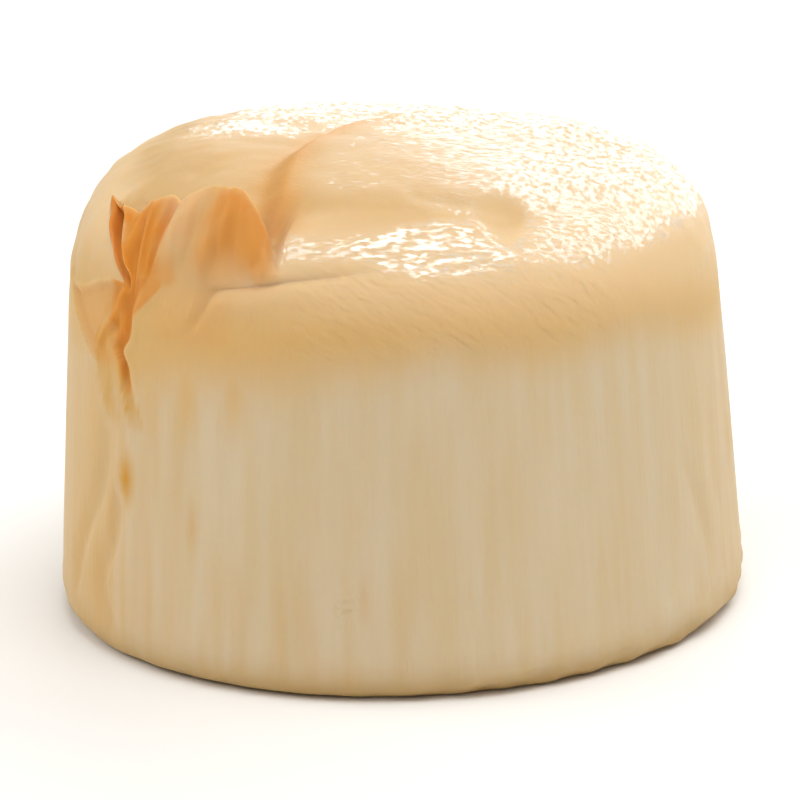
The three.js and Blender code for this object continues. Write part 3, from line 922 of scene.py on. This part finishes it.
def smoked_skin(colours):
    """Moist smoked skin over a beige wall, with streaks, wrinkles and a fine grain."""
    material = bpy.data.materials.new("smoked_skin")
    material.use_nodes = True
    sheet = NodeSheet(material.node_tree)
    principled = material.node_tree.nodes["Principled BSDF"]
    place = sheet.add("ShaderNodeTexCoord").outputs["Object"]
    smoke, gathered, deep, foot = (sheet.mask(m) for m in ("smoke", "gathered", "deep", "foot"))
    moist, wet, edge, pale = (sheet.mask(m) for m in ("moist", "wet", "edge", "pale"))
    stain, blemish, oblique = (sheet.mask(m) for m in ("stain", "blemish", "oblique"))
    bands = sheet.noise(place, 2.4 * MM, (1, 1, 12))
    lines = sheet.noise(place, 1.1 * MM, (1, 1, 30), detail=1.0)
    streaks = sheet.math("MULTIPLY_ADD", lines, 0.25, sheet.math("MULTIPLY", bands, 0.75))
    wall = sheet.blend(streaks, colours.wall, colours.streak)
    patches = sheet.noise(place, 8 * MM)
    creamy = sheet.math("MULTIPLY_ADD", moist, 0.7, sheet.math("MULTIPLY", patches, 0.3))
    skin = sheet.blend(creamy, colours.skin, colours.cream)
    # Painted light and sheen round the shoulder, with the paler dimple, ear and flap
    skin = sheet.blend(pale, skin, colours.shoulder)
    # Smoked skin over the wall, with painted shade on the far sides
    base = sheet.blend(smoke, wall, skin)
    base = sheet.blend(stain, base, colours.ochre)
    # Gathered orange, also painted shade along the lobe's flank
    base = sheet.blend(gathered, base, colours.gathered)
    # Painted shade in the pocket, the folds and along the seam
    base = sheet.blend(deep, base, colours.deep)
    # Browner foot, also painted shade where it turns under
    base = sheet.blend(foot, base, colours.foot)
    pebbles = sheet.noise(place, 1.1 * MM, (1, 1.8, 1), detail=1.0)
    strokes = sheet.noise(place, 0.4 * MM, (2.8, 1, 1), detail=1.0, low=0.3, high=0.7)
    speckle = sheet.noise(place, 0.62 * MM, (1.1, 1.8, 1), low=0.3, high=0.7)
    film = sheet.math("ADD", sheet.blend(edge, speckle, strokes, "Float"), wet)
    film = sheet.between(film, 0, 1, 1, 1.45)
    # Partly a painted highlight: the colour goes milky pale under the wet film and its flecks
    milky_and_highlight = sheet.math("MULTIPLY_ADD", film, 0.5, sheet.math("MULTIPLY", wet, 0.45))
    base = sheet.blend(milky_and_highlight, base, colours.whey_and_highlight)
    fibres = sheet.noise(place, 0.5 * MM, (1, 1, 8))
    wrinkles = sheet.noise(place, 0.9 * MM, (3.5, 1, 1), turned=(0, deg(35), 0), detail=1.0)
    curls = sheet.noise(place, 1 * MM, detail=1.0)
    relief = sheet.blend(edge, pebbles, strokes, "Float")
    relief = sheet.math("MULTIPLY", relief, sheet.math("MULTIPLY", wet, 0.6))
    relief = sheet.math("MULTIPLY_ADD", fibres, sheet.between(moist, 0.15, 0.03), relief)
    relief = sheet.math("MULTIPLY_ADD", wrinkles, oblique, relief)
    relief = sheet.math("MULTIPLY_ADD", curls, blemish, relief)
    bump = sheet.add("ShaderNodeBump", {"Height": relief, "Strength": 0.8, "Distance": 0.24 * MM})
    sheet.feed(principled.inputs["Base Color"], base)
    sheet.feed(principled.inputs["Roughness"], sheet.between(moist, 0.5, 0.42))
    sheet.feed(principled.inputs["Coat Weight"], film)
    sheet.feed(principled.inputs["Normal"], bump.outputs["Normal"])
    principled.inputs["Coat Roughness"].default_value = 0.17
    principled.inputs["Coat IOR"].default_value = 2.3
    principled.inputs["Specular IOR Level"].default_value = 0.12
    principled.inputs["Subsurface Weight"].default_value = 0.6
    principled.inputs["Subsurface Radius"].default_value = (1.0, 0.65, 0.38)
    principled.inputs["Subsurface Scale"].default_value = 1.4 * MM
    return material


def pale_floor(colours):
    """Plain matt floor."""
    material = bpy.data.materials.new("pale_floor")
    material.use_nodes = True
    principled = material.node_tree.nodes["Principled BSDF"]
    principled.inputs["Base Color"].default_value = (*colours.floor, 1)
    principled.inputs["Roughness"].default_value = 0.7
    return material


def surroundings(studio):
    """White surroundings, brighter in front of the cheese than behind it, and low down behind it."""
    world = bpy.data.worlds.new("studio")
    world.use_nodes = True
    sheet = NodeSheet(world.node_tree)
    background = world.node_tree.nodes["Background"]
    place = sheet.add("ShaderNodeTexCoord").outputs["Generated"]
    axes = sheet.add("ShaderNodeSeparateXYZ", {"Vector": place}).outputs
    level = sheet.between(axes["Y"], studio.front_strength, studio.back_strength, -0.5, 0.5)
    low = sheet.between(axes["Z"], 1, 0, 0.12, 0.22)
    behind = sheet.between(axes["Y"], 0, studio.horizon_strength, 0.2, 0.5)
    level = sheet.math("ADD", level, sheet.math("MULTIPLY", low, behind))
    background.inputs["Color"].default_value = (1, 0.962, 0.9, 1)
    sheet.feed(background.inputs["Strength"], level)
    return world


def place_light(name, power, size, place, aim):
    """Soft rectangular light that faces a point."""
    data = bpy.data.lights.new(name, "AREA")
    data.shape = "RECTANGLE"
    data.energy = power
    data.size, data.size_y = size
    light = bpy.data.objects.new(name, data)
    light.location = place
    light.rotation_euler = (Vector(aim) - Vector(place)).to_track_quat("-Z", "Y").to_euler()
    bpy.context.scene.collection.objects.link(light)
    return light


class BURRATA_OT_cheese(bpy.types.Operator):
    """Model the cheese with its gathered neck and give it its smoked skin"""

    bl_idname = "burrata.cheese"
    bl_label = "Cheese"

    def execute(self, context):
        settings = context.scene.burrata
        points, masks = cheese_grid(settings)
        bottom, top = points[0].mean(0), points[-1].mean(0)
        mesh = grid_mesh("smoked_burrata", points, masks, bottom, top)
        cheese = bpy.data.objects.new("smoked_burrata", mesh)
        context.scene.collection.objects.link(cheese)
        mesh.materials.append(smoked_skin(settings.colours))
        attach(cheese, "root")
        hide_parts(NODE)
        return {"FINISHED"}


class BURRATA_OT_studio(bpy.types.Operator):
    """Set the floor, the lights and the camera"""

    bl_idname = "burrata.studio"
    bl_label = "Studio"

    def execute(self, context):
        scene, settings = context.scene, context.scene.burrata
        studio = settings.studio
        if studio.distance <= 0 or studio.lens <= 0:
            raise RuntimeError("The camera needs a distance and a focal length above zero")
        corners = [(FLOOR_HALF * x, FLOOR_HALF * y, 0) for x, y in ((-1, -1), (1, -1), (1, 1), (-1, 1))]
        mesh = bpy.data.meshes.new("floor")
        mesh.from_pydata(corners, [], [(0, 1, 2, 3)])
        floor = bpy.data.objects.new("floor", mesh)
        scene.collection.objects.link(floor)
        mesh.materials.append(pale_floor(settings.colours))
        scene.world = surroundings(studio)
        aim = Vector(studio.aim)
        for name, size, place in LIGHTS:
            place_light(name, getattr(studio, f"{name}_power"), size, place, aim)
        camera = bpy.data.objects.new("camera", bpy.data.cameras.new("camera"))
        back = Vector((0, -math.cos(studio.elevation), math.sin(studio.elevation)))
        camera.location = aim + back * studio.distance
        camera.rotation_mode = "QUATERNION"
        camera.rotation_quaternion = (-back).to_track_quat("-Z", "Y") @ Quaternion((0, 0, 1), studio.roll)
        camera.data.lens = studio.lens
        camera.data.sensor_width = 36
        camera.data.clip_start, camera.data.clip_end = 0.01, 10
        scene.collection.objects.link(camera)
        scene.camera = camera
        scene.view_settings.view_transform = "Standard"
        return {"FINISHED"}


class BURRATA_PT_panel(bpy.types.Panel):
    """Lists the steps that make the burrata"""

    bl_idname = "BURRATA_PT_panel"
    bl_label = "Burrata"
    bl_space_type = "VIEW_3D"
    bl_region_type = "UI"
    bl_category = "Burrata"

    def draw(self, context):
        self.layout.operator(BURRATA_OT_cheese.bl_idname)
        self.layout.operator(BURRATA_OT_studio.bl_idname)


class BurrataSettings(bpy.types.PropertyGroup):
    """All settings of the burrata"""

    drum: PointerProperty(type=BurrataDrum, name="Drum", description="Sizes of the drum")
    top: PointerProperty(type=BurrataTop, name="Top", description="Folds of the top")
    wall: PointerProperty(type=BurrataWall, name="Wall", description="Relief of the wall")
    neck: PointerProperty(type=BurrataNeck, name="Neck", description="The gathered neck")
    colours: PointerProperty(type=BurrataColours, name="Colours", description="Colours of the cheese")
    studio: PointerProperty(type=BurrataStudio, name="Studio", description="Camera and lights")


CLASSES = (
    BurrataDrum, BurrataTop, BurrataWall, BurrataNeck, BurrataColours, BurrataStudio, BurrataSettings,
    BURRATA_OT_cheese, BURRATA_OT_studio, BURRATA_PT_panel,
)


def register():
    for cls in CLASSES:
        bpy.utils.register_class(cls)
    bpy.types.Scene.burrata = PointerProperty(
        type=BurrataSettings, name="Burrata", description="Settings of the burrata"
    )


def unregister():
    del bpy.types.Scene.burrata
    for cls in reversed(CLASSES):
        bpy.utils.unregister_class(cls)


def main():
    register()
    bpy.ops.burrata.studio()
    bpy.ops.burrata.cheese()


if __name__ == "__main__":
    main()
